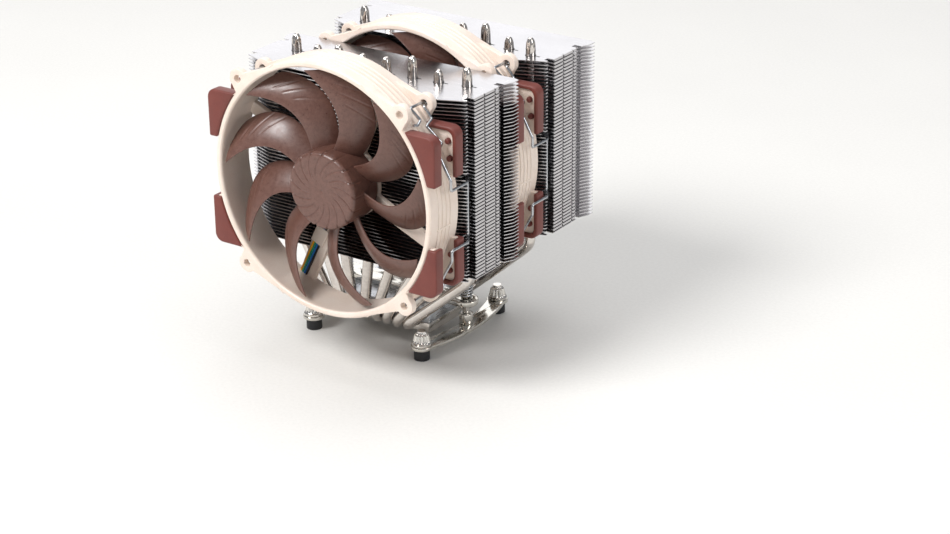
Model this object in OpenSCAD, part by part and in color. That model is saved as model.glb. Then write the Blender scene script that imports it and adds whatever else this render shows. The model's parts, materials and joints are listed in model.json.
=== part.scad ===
// Twin-tower CPU cooler with two round-framed 140 mm fans, eight heat pipes and a two-bar socket mount.
// Origin: centre of the cold plate's contact face. +Z is up, air flows along +Y, X is the width.

/* [Fans] */
// Outer diameter of the round fan frame
fan_d = 141; // [130:1:170]
// Depth of the fan frame along the airflow
fan_depth = 25; // [20:1:30]
// Wall of the round frame
ring_wall = 2.2; // [1.6:0.1:3]
// Extra wall of the rounded lip at the air inlet
lip_wall = 1.2; // [0.6:0.1:1.6]
// Height of the fan's underside above the contact face
fan_under = 31.8; // [30:0.1:45]
// Radial distance from the frame's outer face to an ear hole
ear_offset = 3.75; // [3:0.05:6]
// Diameter of the ear holes
ear_hole_d = 4.3; // [3.5:0.1:5]
// Radius of the rounded end of an ear
ear_r = 5.3; // [4.4:0.1:6.5]
// Thickness of an ear
ear_t = 4; // [3:0.1:5]
// Diameter of the impeller hub
hub_d = 43; // [40:1:52]
// Number of blades
blade_count = 9; // [7:1:11]
// Thickness of a blade at its middle
blade_t = 1.9; // [1.2:0.1:2.4]
// Gap from the blade tips to the frame
tip_gap = 1.8; // [1.2:0.1:4]

/* [Pads] */
// How far the corner pads stand out past the frame's side
pad_overhang = 3.2; // [2.8:0.1:6]
// How far the pads stand proud of the frame's front and rear faces
pad_proud = 0.5; // [0.3:0.1:1]
// Depth of a pad along the airflow
pad_depth = 7; // [6:0.1:8]
// Rim of a pad around the frame's corner plate
pad_rim = 2.5; // [2:0.1:3]
// Angle on the frame where a pad starts
pad_low = 14; // [12:1:17]
// Angle on the frame where a pad ends
pad_high = 38.5; // [34:0.5:39]

/* [Fin towers] */
// Number of fins in a tower, the top fin included
fin_count = 52; // [30:1:60]
// Distance from one fin to the next
fin_pitch = 1.96; // [1.6:0.01:2.4]
// Thickness of a fin
fin_t = 0.45; // [0.35:0.01:0.6]
// Width across the folded side tabs
tower_w = 145; // [130:1:175]
// Width across the rear wings
wing_w = 150; // [134:1:180]
// Depth of a tower along the airflow
tower_d = 50; // [46:1:60]
// How far the fans sit below the middle of the towers
fan_drop = 3.95; // [0:0.05:8]
// Sideways offset of the towers and fans from the base
tower_x = 11; // [0:0.5:14]

/* [Heat pipes] */
// Number of heat pipes
pipe_count = 8; // [4:1:8]
// Outer diameter of a heat pipe
pipe_d = 6; // [5:0.1:7.4]
// Distance between neighbouring pipes in the towers
pipe_pitch = 15.9; // [13:0.1:16.5]
// Gap between neighbouring pipes in the base
pipe_base_gap = 0.3; // [0.1:0.05:0.6]
// Bend radius of a pipe's centre line
pipe_bend = 11; // [9:0.5:14]
// Height of the pinched tip of a pipe
tip_len = 5; // [3:0.5:6]

/* [Base] */
// Length of the cold plate along the airflow
plate_l = 44; // [38:1:50]
// Copper under the pipes
plate_floor = 3; // [2:0.1:4]
// Metal above the pipes in the cover
cover_roof = 4; // [3:0.1:6]
// Width of the screw strip on each side of the pipes
plate_edge = 6.4; // [6:0.1:9]
// Diameter of the cover screws
cover_screw_d = 3; // [2.5:0.1:3.4]
// Thickness of the crossbar
bar_t = 3; // [2:0.1:4]
// Width of the crossbar
bar_w = 14; // [12:0.5:18]
// Distance between the two spring screws
screw_span = 83; // [80:0.5:96]
// Diameter of the spring screw's shank
screw_d = 4; // [3:0.1:5]

/* [Socket mount] */
// Hole pattern of the board, both ways
hole_span = 75; // [70:0.5:80]
// Thickness of a mounting bar
mount_t = 2; // [1.5:0.1:3]
// Width of a mounting bar
mount_w = 10; // [9:0.1:12]
// How far a mounting bar bows outwards
mount_bow = 6.5; // [5:0.1:9]
// Diameter of the holes for the board's studs
stud_hole_d = 4.1; // [3.5:0.1:5]
// Height of a standoff
standoff_h = 6.5; // [4:0.1:9]

/* [Clips] */
// Diameter of the clip wire
wire_d = 1.6; // [1.2:0.1:1.8]
// Distance along the airflow from the frame's front face to the clip's swing axis
swing_y = 12; // [10:0.5:14]

/* [Hidden] */
$fn = 64;
slip = 0.05;             // radial gap where one still piece sits in another
run_fit = 0.03;          // radial gap of the shaft in its bush
air = 0.3;               // gap between pieces that move past each other
eps = 0.01;
fan_r = fan_d / 2;
bore_r = fan_r - ring_wall;
hub_r = hub_d / 2;
wire_r = wire_d / 2;
pipe_r = pipe_d / 2;
fan_z = fan_under + fan_r;
tower_h = (fin_count - 1) * fin_pitch + fin_t;
fin_z0 = fan_z + fan_drop - tower_h / 2;
fin_top = fin_z0 + tower_h;
half_gap = fan_depth / 2 + pad_proud;          // from the middle fan's centre to either tower
unit_depth = 2 * half_gap + tower_d;           // one fan and one tower
rear_unit_y = -half_gap + pad_proud;           // front face of the middle fan's frame
front_unit_y = rear_unit_y - unit_depth;       // front face of the front fan's frame

// Fan motor, along the airflow from the frame's front face
cap_y = 0.8;
cap_t = 2.2;
hub_wall = 1.5;
hub_end = fan_depth - 3.7;
base_t = 2.7;
base_y = fan_depth - base_t;
strut_w = 9;
strut_t = 3;
strut_angles = [65, 155, 335];
cable_strut_w = 12;
cable_strut_angle = 245;
cable_angle = 243.2;
shaft_r = 2;
bush_r = 4.5;
tube_r = 6;
boss_r = 5;
boss_end = cap_y + cap_t + 5;
bush_y = boss_end + 1;
cup_wall = 1.2;
magnet_wall = 1.8;
magnet_y = 8;
magnet_end = hub_end - 2.3;
stator_gap = 0.6;
stator_y = 10;
stator_h = 8;
coil_over = 1.2;
board_t = 1.2;
board_y = base_y - board_t - 0.5;
lead_d = 1.3;
lead_count = 4;

// Base stack, upwards from the contact face
pipe_z = plate_floor + pipe_r;
base_pitch = pipe_d + pipe_base_gap;
plate_w = pipe_count * base_pitch + 2 * plate_edge;
cover_z = pipe_z + pipe_r + cover_roof;
bar_z = cover_z + bar_t;
cover_screw_x = plate_w / 2 - plate_edge / 2;
cover_screw_y = plate_l / 2 - 5;
cover_screw_floor = 1.5;
spring_h = 10;
spring_wire = 1;
spring_turns = 5;
head_r = 5;
head_t = 4;
head_z = bar_z + spring_h;
screw_x = screw_span / 2;
mount_z = -mount_t / 2;
post_r = 4;
post_h = 6;
nut_r = 5.6;
nut_h = 8.5;
hole_x = hole_span / 2;
bow_r = (pow(hole_x, 2) + pow(mount_bow, 2)) / (2 * mount_bow);
bow_a = asin(hole_x / bow_r);

// Fin outline, from the tower's centre line and front edge
side_x = tower_w / 2;
slant_run = 17.5;
slant_y = 6.2;
lip_in = 1.6;
groove_y = 7.8;
groove_w = 3.4;
groove_depth = 4;
tab_slot = 1.1;
tab_h = fin_pitch - 0.65;
tab_t = 0.5;
tabs = [[12, 20.6], [21.7, 30.3], [31.4, 34.2]];
notch = [35.4, 38.6];
wing_y = 44;

// Pipe positions: height of each tip above the top fin, and how the row of pipes bows
tip_rise = [9.5, 6.5, 9.5, 7.5, 8.7, 11.5, 6.8, 9.9];
row_shift = 2.35;
row_bow = 5;
row_zigzag = 0.6;
front_inset = 29;
rear_inset = 16.5;
elbow_y = plate_l / 2 + pipe_bend + 3;
elbow_z = fin_z0 - 10;

// Clip wire: swing axis, arm heights and groove seat, from the fan's centre and front face
swing_x = wire_r + max(fan_r + pad_overhang + 0.4, side_x + 1.3);
arm_up = 12.5;
arm_down = -20.5;
stub = 2.5;
seat_x = side_x - groove_depth + wire_r + 0.3;
seat_y = fan_depth + pad_proud + groove_y + wire_r + 0.25;
corner_y = fan_depth + pad_proud + 1;
leg_split = 0.76;        // half the angle between the two wire legs in an ear hole

// ---------- helpers ----------

function unit(v) = v / norm(v);
function polar(r, a) = [r * cos(a), r * sin(a)];
function pipe_x(i) = tower_x + row_shift + pipe_pitch * (i - (pipe_count - 1) / 2);
function base_x(i) = base_pitch * (i - (pipe_count - 1) / 2);
function row_curve(i) = row_bow * pow(2 * i / (pipe_count - 1) - 1, 2) + row_zigzag * (i % 2);
function front_y(i) = -half_gap - front_inset + row_curve(i);
function rear_y(i) = half_gap + rear_inset - row_curve(i);

// A flat outline in X and Z, filled from y0 to y1
module slab(y0, y1) {
    rotate([90, 0, 0]) translate([0, 0, -y1]) linear_extrude(y1 - y0) children();
}

// A profile of radius and depth, turned about the fan axis
module turned() {
    rotate([-90, 0, 0]) rotate_extrude($fn = 128) children();
}

// Points round a bend at a corner, from heading a to heading b
function bend_points(corner, a, b, steps = 5) =
    let (n = unit(b - a * (a * b)), turn = acos(a * b), start = corner - a * pipe_bend * tan(turn / 2),
        middle = start + pipe_bend * n)
    [for (k = [0:steps]) middle + pipe_bend * (a * sin(turn * k / steps) - n * cos(turn * k / steps))];

// A tube swept along a list of points, with one radius or a radius for each point
function heading(p, i) = unit((i == 0 ? [0, 0, 0] : unit(p[i] - p[i - 1]))
    + (i == len(p) - 1 ? [0, 0, 0] : unit(p[i + 1] - p[i])));
function squared(v, t) = unit(v - t * (v * t));
function sides(p, i, v) = i == len(p) ? [] :
    let (s = squared(v, heading(p, i))) concat([s], sides(p, i + 1, s));
module tube(p, r, n = 8) {
    s = sides(p, 0, [0.31, 0.52, 0.79]);
    points = [for (i = [0:len(p) - 1]) let (c = cross(heading(p, i), s[i]))
        for (k = [0:n - 1]) p[i] + (is_list(r) ? r[i] : r) * (cos(360 * k / n) * s[i] + sin(360 * k / n) * c)];
    last = (len(p) - 1) * n;
    walls = [for (i = [0:len(p) - 2], k = [0:n - 1]) let (a = i * n + k, b = i * n + (k + 1) % n)
        each [[a, a + n, b + n], [a, b + n, b]]];
    caps = [[for (k = [0:n - 1]) k], [for (k = [n - 1:-1:0]) last + k]];
    polyhedron(points = points, faces = concat(caps, walls));
}

// The fan and tower pair that starts at a given depth
module in_unit(y) {
    translate([tower_x, y, fan_z]) children();
}

// A shape copied to all four corners of a fan
module corners() {
    for (sx = [-1, 1], sz = [-1, 1]) scale([sx, 1, sz]) children();
}

// ---------- base ----------

// The two half-round grooves' shared row of pipe holes
module pipe_row(r) {
    for (i = [0:pipe_count - 1]) translate([base_x(i), 0, pipe_z]) rotate([90, 0, 0])
        cylinder(h = plate_l + 2, r = r, center = true);
}

module at_cover_screws() {
    for (sx = [-1, 1], y = [-cover_screw_y, 0, cover_screw_y]) translate([sx * cover_screw_x, y, 0])
        children();
}

module cold_plate() {
    color("#c98f6b") difference() {
        translate([-plate_w / 2, -plate_l / 2, 0]) cube([plate_w, plate_l, pipe_z]);
        pipe_row(pipe_r + slip);
        at_cover_screws() translate([0, 0, cover_screw_floor]) cylinder(h = pipe_z, d = cover_screw_d + 2 * slip);
    }
}

module base_cover() {
    color("#c9ccd0") difference() {
        translate([-plate_w / 2, -plate_l / 2, pipe_z]) cube([plate_w, plate_l, cover_z - pipe_z]);
        pipe_row(pipe_r + slip);
        at_cover_screws() cylinder(h = cover_z + 1, d = cover_screw_d + 2 * slip);
    }
}

module cover_screws() {
    color("#b9bcc0") for (sx = [-1, 1], y = [-cover_screw_y, 0, cover_screw_y]) {
        seat = y == 0 ? bar_z : cover_z;
        translate([sx * cover_screw_x, y, 0]) difference() {
            union() {
                translate([0, 0, cover_screw_floor + 0.5]) cylinder(h = seat - cover_screw_floor, d = cover_screw_d);
                translate([0, 0, seat]) cylinder(h = 2, d = cover_screw_d * 1.9);
            }
            translate([0, 0, seat + 1]) cylinder(h = 2, d = cover_screw_d * 0.8, $fn = 6);
        }
    }
}

module crossbar() {
    color("#cdd0d4") translate([0, 0, cover_z]) difference() {
        union() {
            translate([-screw_x, -bar_w / 2, 0]) cube([screw_span, bar_w, bar_t]);
            for (sx = [-1, 1]) translate([sx * screw_x, 0, 0]) cylinder(h = bar_t, d = bar_w);
        }
        for (sx = [-1, 1]) translate([sx * screw_x, 0, -1]) cylinder(h = bar_t + 2, r = screw_d / 2 + 2 * air);
        for (sx = [-1, 1]) translate([sx * cover_screw_x, 0, -1])
            cylinder(h = bar_t + 2, d = cover_screw_d + 2 * slip);
    }
}

module spring_screw(sx) {
    color("#d4d6da") translate([sx * screw_x, 0, 0]) difference() {
        union() {
            translate([0, 0, mount_z]) cylinder(h = head_z - mount_z, d = screw_d);
            translate([0, 0, head_z]) cylinder(h = head_t, r = head_r);
        }
        for (a = [0, 90]) rotate([0, 0, a]) translate([-head_r * 0.6, -0.6, head_z + head_t - 1.8])
            cube([head_r * 1.2, 1.2, 3]);
    }
}
module left_spring_screw() { spring_screw(-1); }
module right_spring_screw() { spring_screw(1); }

module coil_spring(sx) {
    coil_r = screw_d / 2 + air + spring_wire / 2 + 0.4;
    rise = spring_h - spring_wire - 2 * air;
    steps = spring_turns * 12;
    color("#9fa3a8") translate([sx * screw_x, 0, bar_z + spring_wire / 2 + air])
        tube([for (i = [0:steps]) [coil_r * cos(30 * i), coil_r * sin(30 * i), rise * i / steps]],
            spring_wire / 2, 6);
}
module left_spring() { coil_spring(-1); }
module right_spring() { coil_spring(1); }

// ---------- socket mount ----------

// Outline of the right-hand mounting bar: a bowed strip with a round pad at each end
module mount_shape() {
    translate([hole_x + mount_bow - bow_r, 0]) intersection() {
        difference() {
            circle(r = bow_r + mount_w / 2, $fn = 180);
            circle(r = bow_r - mount_w / 2, $fn = 180);
        }
        polygon([[0, 0], 1.5 * bow_r * [1, tan(bow_a)], 1.5 * bow_r * [1, -tan(bow_a)]]);
    }
    for (sy = [-1, 1]) translate([hole_x, sy * hole_x]) circle(d = mount_w + 2.4);
}

module mounting_bar(sx) {
    color("#d2d4d8") translate([0, 0, mount_z]) linear_extrude(mount_t) scale([sx, 1]) difference() {
        mount_shape();
        for (sy = [-1, 1]) translate([hole_x, sy * hole_x]) circle(d = stud_hole_d);
        translate([screw_x, 0]) circle(r = screw_d / 2 + slip);
    }
}
module left_mounting_bar() { mounting_bar(-1); }
module right_mounting_bar() { mounting_bar(1); }

module screw_posts() {
    color("#c4c7cb") for (sx = [-1, 1]) translate([sx * screw_x, 0, mount_z + mount_t]) difference() {
        cylinder(h = post_h, r = post_r);
        translate([0, 0, -1]) cylinder(h = post_h + 2, r = screw_d / 2 + slip);
    }
}

module at_board_holes() {
    for (sx = [-1, 1], sy = [-1, 1]) translate([sx * hole_x, sy * hole_x, 0]) children();
}

module standoffs() {
    color("#26262a") at_board_holes() translate([0, 0, mount_z - standoff_h]) difference() {
        cylinder(h = standoff_h, r = stud_hole_d / 2 + 2.4);
        translate([0, 0, -1]) cylinder(h = standoff_h + 2, d = stud_hole_d);
    }
}

module thumb_nuts() {
    color("#cfd2d6") at_board_holes() translate([0, 0, mount_z + mount_t]) difference() {
        union() {
            cylinder(h = 1.6, r = nut_r);
            translate([0, 0, 1.6]) cylinder(h = nut_h - 3.6, r1 = nut_r - 0.4, r2 = nut_r - 1.6);
            translate([0, 0, nut_h - 2]) cylinder(h = 2, r1 = nut_r - 1.6, r2 = nut_r - 3);
        }
        translate([0, 0, -1]) cylinder(h = nut_h - 1, d = stud_hole_d);
    }
}

// ---------- heat pipes ----------

// Points of one leg, from the base up through a tower to its pinched tip
function leg_points(i, leg_y) =
    let (way = sign(leg_y), low = [base_x(i), way * elbow_y, pipe_z], high = [pipe_x(i), leg_y, elbow_z],
        out = [0, way, 0], slope = unit(high - low), top = fin_top + tip_rise[i])
    concat(bend_points(low, out, slope), bend_points(high, slope, [0, 0, 1], 3),
        [[high.x, high.y, top - tip_len], [high.x, high.y, top - tip_len * 0.45], [high.x, high.y, top]]);

module heat_pipe(i) {
    if (i < pipe_count) {
        front = leg_points(i, front_y(i));
        rear = leg_points(i, rear_y(i));
        n = len(front);
        tip = [pipe_r * 0.42, pipe_r * 0.78];
        color("#d9c3b0") tube(concat([for (k = [n - 1:-1:0]) front[k]], rear),
            concat(tip, [for (k = [1:2 * n - 4]) pipe_r], [tip[1], tip[0]]), 12);
    }
}
module heat_pipe_1() { heat_pipe(0); }
module heat_pipe_2() { heat_pipe(1); }
module heat_pipe_3() { heat_pipe(2); }
module heat_pipe_4() { heat_pipe(3); }
module heat_pipe_5() { heat_pipe(4); }
module heat_pipe_6() { heat_pipe(5); }
module heat_pipe_7() { heat_pipe(6); }
module heat_pipe_8() { heat_pipe(7); }

// ---------- fin towers ----------

// Right-hand edge of a fin, from its front edge to its rear edge
fin_edge = concat(
    [[side_x - slant_run, 0], [side_x - lip_in, slant_y], [side_x - lip_in, groove_y],
        [side_x - groove_depth, groove_y], [side_x - groove_depth, groove_y + groove_w],
        [side_x, groove_y + groove_w]],
    [for (t = tabs) each [[side_x, t[1]], [side_x - tab_slot, t[1] + tab_slot / 2], [side_x, t[1] + tab_slot]]],
    [[side_x - groove_depth, notch[0]], [side_x - groove_depth, notch[1]], [side_x, notch[1]],
        [wing_w / 2, wing_y], [wing_w / 2, tower_d - 1], [side_x - 1, tower_d]]);

// Outline of a fin; an open one lets the clip's arms reach the groove
module fin_shape(is_open) {
    n = len(fin_edge);
    difference() {
        polygon(concat(fin_edge, [for (k = [n - 1:-1:0]) [-fin_edge[k].x, fin_edge[k].y]]));
        if (is_open) for (sx = [-1, 1]) scale([sx, 1])
            translate([side_x - groove_depth, groove_y + groove_w]) mirror([0, 1]) square([groove_depth + 1, 9]);
    }
}

// Whether a clip arm passes a fin's level
function near_arm(z) = min(abs(z - fan_z - arm_up), abs(z - fan_z - arm_down)) < wire_r + fin_t + air;

module pipe_holes(is_front) {
    for (i = [0:pipe_count - 1])
        translate([pipe_x(i) - tower_x, is_front ? front_y(i) + half_gap + tower_d : rear_y(i) - half_gap])
            children();
}

// Folded edge tabs that close the sides of the tower
module side_tabs() {
    for (sx = [-1, 1], t = tabs) scale([sx, 1]) translate([side_x - tab_t, t[0]])
        square([tab_t, t[1] - t[0]]);
}

module fin(k, is_front) {
    z = fin_z0 + k * fin_pitch;
    is_open = near_arm(z + fin_t / 2);
    translate([0, 0, z]) {
        linear_extrude(fin_t) difference() {
            fin_shape(is_open);
            pipe_holes(is_front) circle(r = pipe_r + slip, $fn = 48);
        }
        if (k > 0) translate([0, 0, fin_t - tab_h]) linear_extrude(tab_h) side_tabs();
    }
}

module tower(is_front, first, last) {
    translate([tower_x, is_front ? -half_gap - tower_d : half_gap, 0]) for (k = [first:last]) fin(k, is_front);
}

// The top fin, with the solder notch beside each pipe
module top_fin(is_front) {
    difference() {
        tower(is_front, fin_count - 1, fin_count - 1);
        translate([tower_x, is_front ? -half_gap - tower_d : half_gap, fin_top - fin_t - 1])
            linear_extrude(fin_t + 2) pipe_holes(is_front)
                translate([pipe_r - 0.6, -0.5]) square([3.4, 1]);
    }
}

module front_fins() { color("#c3c6ca") tower(true, 0, fin_count - 2); }
module front_top_fin() { color("#d3d5d8") top_fin(true); }
module rear_fins() { color("#c3c6ca") tower(false, 0, fin_count - 2); }
module rear_top_fin() { color("#d3d5d8") top_fin(false); }

// ---------- fan ----------

// Upper right corner of a fan, seen from the front: the outline of a pad, or inset, of its plate
module pad_shape(inset) {
    out = fan_r + pad_overhang - inset;
    low = fan_r * sin(pad_low);
    high = fan_r * sin(pad_high) - inset;
    round_r = 5 - inset / 2;
    difference() {
        union() {
            translate([0, low]) square([out - round_r, high - low]);
            translate([0, low]) square([out, high - round_r - low]);
            translate([out - round_r, high - round_r]) circle(r = round_r);
        }
        circle(r = fan_r, $fn = 128);
    }
}

peg_points = [polar(fan_r + pad_overhang + 3, 27.7), polar(fan_r + pad_overhang, 21)];
peg_r = 1.6;
plate_gap = 1.5;         // depth of the corner plate behind the frame's face
plate_t = 3;

module ear_shape() {
    foot = 20;
    pad_foot = 45 - pad_high - 1;
    at = polar(fan_r + ear_offset, 45);
    difference() {
        union() {
            translate(at) circle(r = ear_r);
            polygon([at + polar(ear_r, 135), polar(fan_r - 0.6, 45 + foot), polar(fan_r - 1.5, 45),
                polar(fan_r - 0.6, 45 - pad_foot), at + polar(ear_r, -45)]);
        }
        translate(at) circle(d = ear_hole_d);
        circle(r = bore_r + eps, $fn = 128);
    }
}

module corner_plate_shape() {
    difference() {
        union() {
            pad_shape(pad_rim);
            intersection() {
                difference() {
                    circle(r = fan_r + eps, $fn = 128);
                    circle(r = bore_r + ring_wall / 2, $fn = 128);
                }
                polygon([[0, 0], 2 * fan_r * [cos(pad_low + 1), sin(pad_low + 1)],
                    2 * fan_r * [cos(pad_high - 3), sin(pad_high - 3)]]);
            }
        }
        for (p = peg_points) translate(p) circle(r = peg_r);
    }
}

// One strut, from the motor base to the frame
module strut_shape(a, w) {
    end = bore_r + ring_wall / 2;
    rotate(a) polygon([[hub_r - 3, -w / 2], [end, -w / 2 + 1], [end, w / 2 - 1], [hub_r - 3, w / 2]]);
}

module lead_channel(extra) {
    w = lead_count * lead_d + extra;
    rotate([0, -cable_angle, 0]) translate([tube_r + 5, fan_depth - strut_t, -w / 2])
        children();
}

module fan_frame() {
    rib = 0.5;
    color("#ead8c4") difference() {
        union() {
            turned() polygon([[bore_r - lip_wall, 0.8], [bore_r - lip_wall + 0.8, 0], [fan_r - 0.8, 0],
                [fan_r, 0.8], [fan_r, fan_depth - 0.5], [fan_r - 0.5, fan_depth], [bore_r, fan_depth],
                [bore_r, 5], [bore_r - lip_wall, 2.2]]);
            for (k = [1:4]) turned() translate([fan_r - eps, ear_t + k * (fan_depth - 2 * ear_t) / 5])
                translate([0, -rib]) square([rib + eps, 2 * rib]);
            corners() {
                slab(0, ear_t) ear_shape();
                slab(fan_depth - ear_t, fan_depth) ear_shape();
                slab(plate_gap, plate_gap + plate_t) corner_plate_shape();
                slab(fan_depth - plate_gap - plate_t, fan_depth - plate_gap) corner_plate_shape();
            }
            slab(fan_depth - strut_t, fan_depth) {
                for (a = strut_angles) strut_shape(a, strut_w);
                strut_shape(cable_strut_angle, cable_strut_w);
            }
            turned() polygon([[0, base_y], [hub_r, base_y], [hub_r, fan_depth], [0, fan_depth]]);
            turned() polygon([[bush_r, bush_y], [tube_r, bush_y], [tube_r, base_y + 1], [bush_r, base_y + 1]]);
        }
        lead_channel(2 * slip) cube([fan_r, lead_d + slip, lead_count * lead_d + 2 * slip]);
    }
}

module pads(is_front) {
    y0 = is_front ? -pad_proud : fan_depth + pad_proud - pad_depth;
    near = is_front ? plate_gap : fan_depth - plate_gap - plate_t;
    inner = is_front ? plate_gap : y0 - 1;
    peg_y = is_front ? plate_gap : fan_depth - plate_gap - plate_t - 2;
    color("#93544c") corners() {
        difference() {
            slab(y0, y0 + pad_depth) pad_shape(0);
            slab(inner, inner + (is_front ? pad_depth : fan_depth - plate_gap - inner)) pad_shape(pad_rim);
        }
        slab(peg_y, peg_y + plate_t + 2) for (p = peg_points) translate(p) circle(r = peg_r);
    }
}

// Blade surface: x runs -1 to 1 from hub to tip, v runs -1 to 1 from trailing to leading edge
blade_root = hub_r - hub_wall / 2;
blade_tip = bore_r - lip_wall - tip_gap;
blade_camber = 1.2;
function blade_r(x) = (blade_root + blade_tip) / 2 + (blade_tip - blade_root) / 2 * x;
function lead_angle(x) = 79.3 + 11.9 * x + 11.7 * x * x - 4.9 * pow(x, 3);
function trail_angle(x) = 56.3 + 12.1 * x + 9.6 * x * x + 2.8 * pow(x, 3);
function lead_depth(x) = fan_depth / 25 * (6.2 - 3.9 * x - 0.6 * x * x);
function trail_depth(x) = fan_depth / 25 * (18 - 2.2 * x - 1.8 * x * x);
function between(a, b, v) = (a + b) / 2 + (a - b) / 2 * v;
function blade_half(x, v) = blade_t / 2 * (1 - 0.75 * v * v) * (1.1 - 0.17 * x);
function blade_point(x, v, side) =
    let (p = polar(blade_r(x), between(lead_angle(x), trail_angle(x), v)),
        depth = between(lead_depth(x), trail_depth(x), v) - blade_camber * (1 - v * v))
    [p.x, depth + side * blade_half(x, v), p.y];

module blade(nu = 8, nv = 6) {
    w = nv + 1;
    layer = (nu + 1) * w;
    points = [for (side = [-1, 1], i = [0:nu], j = [0:nv]) blade_point(2 * i / nu - 1, 2 * j / nv - 1, side)];
    front = [for (i = [0:nu - 1], j = [0:nv - 1]) let (a = i * w + j)
        each [[a, a + w + 1, a + w], [a, a + 1, a + w + 1]]];
    back = [for (f = front) [f[0] + layer, f[2] + layer, f[1] + layer]];
    rim = concat([for (j = [0:nv - 1]) j], [for (i = [0:nu - 1]) i * w + nv],
        [for (j = [nv:-1:1]) nu * w + j], [for (i = [nu:-1:1]) i * w]);
    edge = [for (k = [0:len(rim) - 1]) let (a = rim[k], b = rim[(k + 1) % len(rim)])
        each [[a, b + layer, b], [a, a + layer, b + layer]]];
    polyhedron(points = points, faces = concat(front, back, edge));
}

module impeller() {
    color("#7a5a50") {
        turned() polygon([[0, cap_y], [hub_r - 1.6, cap_y], [hub_r - 0.5, cap_y + 0.5], [hub_r, cap_y + 1.6],
            [hub_r, hub_end], [hub_r - hub_wall, hub_end], [hub_r - hub_wall, cap_y + cap_t],
            [boss_r, cap_y + cap_t], [boss_r, boss_end], [shaft_r, boss_end], [shaft_r, cap_y + cap_t],
            [0, cap_y + cap_t]]);
        for (k = [0:blade_count - 1]) rotate([0, -360 * k / blade_count, 0]) blade();
    }
}

module rotor_cup() {
    r = hub_r - hub_wall - slip;
    y = cap_y + cap_t;
    color("#8d9095") turned() polygon([[boss_r + slip, y], [r, y], [r, hub_end - 1.5], [r - cup_wall, hub_end - 1.5],
        [r - cup_wall, y + cup_wall], [boss_r + slip, y + cup_wall]]);
}

magnet_r = hub_r - hub_wall - slip - cup_wall;
module magnet() {
    color("#3a3536") turned() translate([magnet_r - magnet_wall, magnet_y])
        square([magnet_wall, magnet_end - magnet_y]);
}

module shaft() {
    color("#c8cacd") turned() translate([0, cap_y + cap_t]) square([shaft_r, base_y - 2 - cap_y - cap_t]);
}

module bush() {
    color("#b8903c") turned() translate([shaft_r + run_fit, bush_y])
        square([bush_r - shaft_r - run_fit, base_y - 0.5 - bush_y]);
}

stator_r = magnet_r - magnet_wall - stator_gap;
arm_w = 4;
shoe_t = 2;
module stator() {
    color("#7d8288") slab(stator_y, stator_y + stator_h) difference() {
        union() {
            circle(r = tube_r + 2);
            for (a = [0:90:270]) rotate(a) translate([tube_r, -arm_w / 2]) square([stator_r - shoe_t / 2 - tube_r, arm_w]);
            for (a = [0:90:270]) rotate(a) intersection() {
                difference() {
                    circle(r = stator_r);
                    circle(r = stator_r - shoe_t);
                }
                polygon([[0, 0], 30 * [cos(36), sin(36)], 30 * [cos(36), -sin(36)]]);
            }
        }
        circle(r = tube_r + slip);
    }
}

module coils() {
    r0 = tube_r + 2.3;
    len = stator_r - shoe_t - 0.4 - r0;
    color("#a8582e") for (a = [0:90:270]) rotate([0, a, 0]) difference() {
        translate([r0, stator_y - coil_over, -arm_w / 2 - coil_over]) cube([len, stator_h + 2 * coil_over,
            arm_w + 2 * coil_over]);
        translate([r0 - 1, stator_y - slip, -arm_w / 2 - slip]) cube([len + 2, stator_h + 2 * slip, arm_w + 2 * slip]);
    }
}

module circuit_board() {
    color("#2f6b45") turned() translate([tube_r + slip, board_y]) square([stator_r - tube_r - slip, board_t]);
}

module leads() {
    color("#2b2b2e") lead_channel(0) for (k = [0:lead_count - 1]) translate([0, lead_d / 2, lead_d * (k + 0.5)])
        rotate([0, 90, 0]) cylinder(h = fan_r - tube_r - 5.5, d = lead_d - 2 * slip);
}

module lead_cover() {
    color("#ead8c4") lead_channel(3) translate([24, -1, 0]) cube([11, 1, lead_count * lead_d + 3]);
}

// ---------- fan clips ----------

// A point beside the frame: distance out from it, angle round it and depth
function beside(off, a, y) = let (p = polar(fan_r + off, a)) [p.x, y, p.y];
ear_mid = fan_depth - ear_t / 2 + 0.2;
ear_near = fan_depth - ear_t - wire_r - 0.3;
pad_near = fan_depth + pad_proud - pad_depth - wire_r - 0.5;
upper_wire = [beside(3.4, 39, 5), beside(3.4, 38.3, 7.6), beside(4.1, 39.6, 11),
    beside(ear_offset, 45 + leg_split, 10), beside(ear_offset, 45 + leg_split, ear_mid),
    beside(ear_offset, 45 - leg_split, ear_mid), beside(ear_offset, 45 - leg_split, ear_near),
    beside(3.9, 38.2, ear_near - 0.5), beside(4.2, 36.6, 12.5), beside(4.5, 27.8, pad_near),
    beside(4.5, 25.9, 11), [swing_x, swing_y, arm_up + stub + 3], [swing_x, swing_y, arm_up + stub]];
lower_wire = [beside(4.2, -42, 5.2), beside(ear_offset, -45 - leg_split, 8),
    beside(ear_offset, -45 - leg_split, ear_mid), beside(ear_offset, -45 + leg_split, ear_mid),
    beside(ear_offset, -45 + leg_split, ear_near), beside(6.2, -42, pad_near), beside(9.5, -33.4, pad_near - 0.8),
    beside(6.6, -32.6, pad_near - 1), [swing_x, swing_y, arm_down - stub - 3],
    [swing_x, swing_y, arm_down - stub]];
bail_wire = [[swing_x, swing_y, arm_up + 1], [swing_x, swing_y, arm_up + 0.8],
    [swing_x, swing_y + 0.8, arm_up], [swing_x, corner_y, arm_up], [seat_x, seat_y - 0.8, arm_up],
    [seat_x, seat_y, arm_up - 0.8], [seat_x, seat_y, arm_down + 0.8], [seat_x, seat_y - 0.8, arm_down],
    [swing_x, corner_y, arm_down], [swing_x, swing_y + 0.8, arm_down],
    [swing_x, swing_y, arm_down - 0.8], [swing_x, swing_y, arm_down - 1]];

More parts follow.
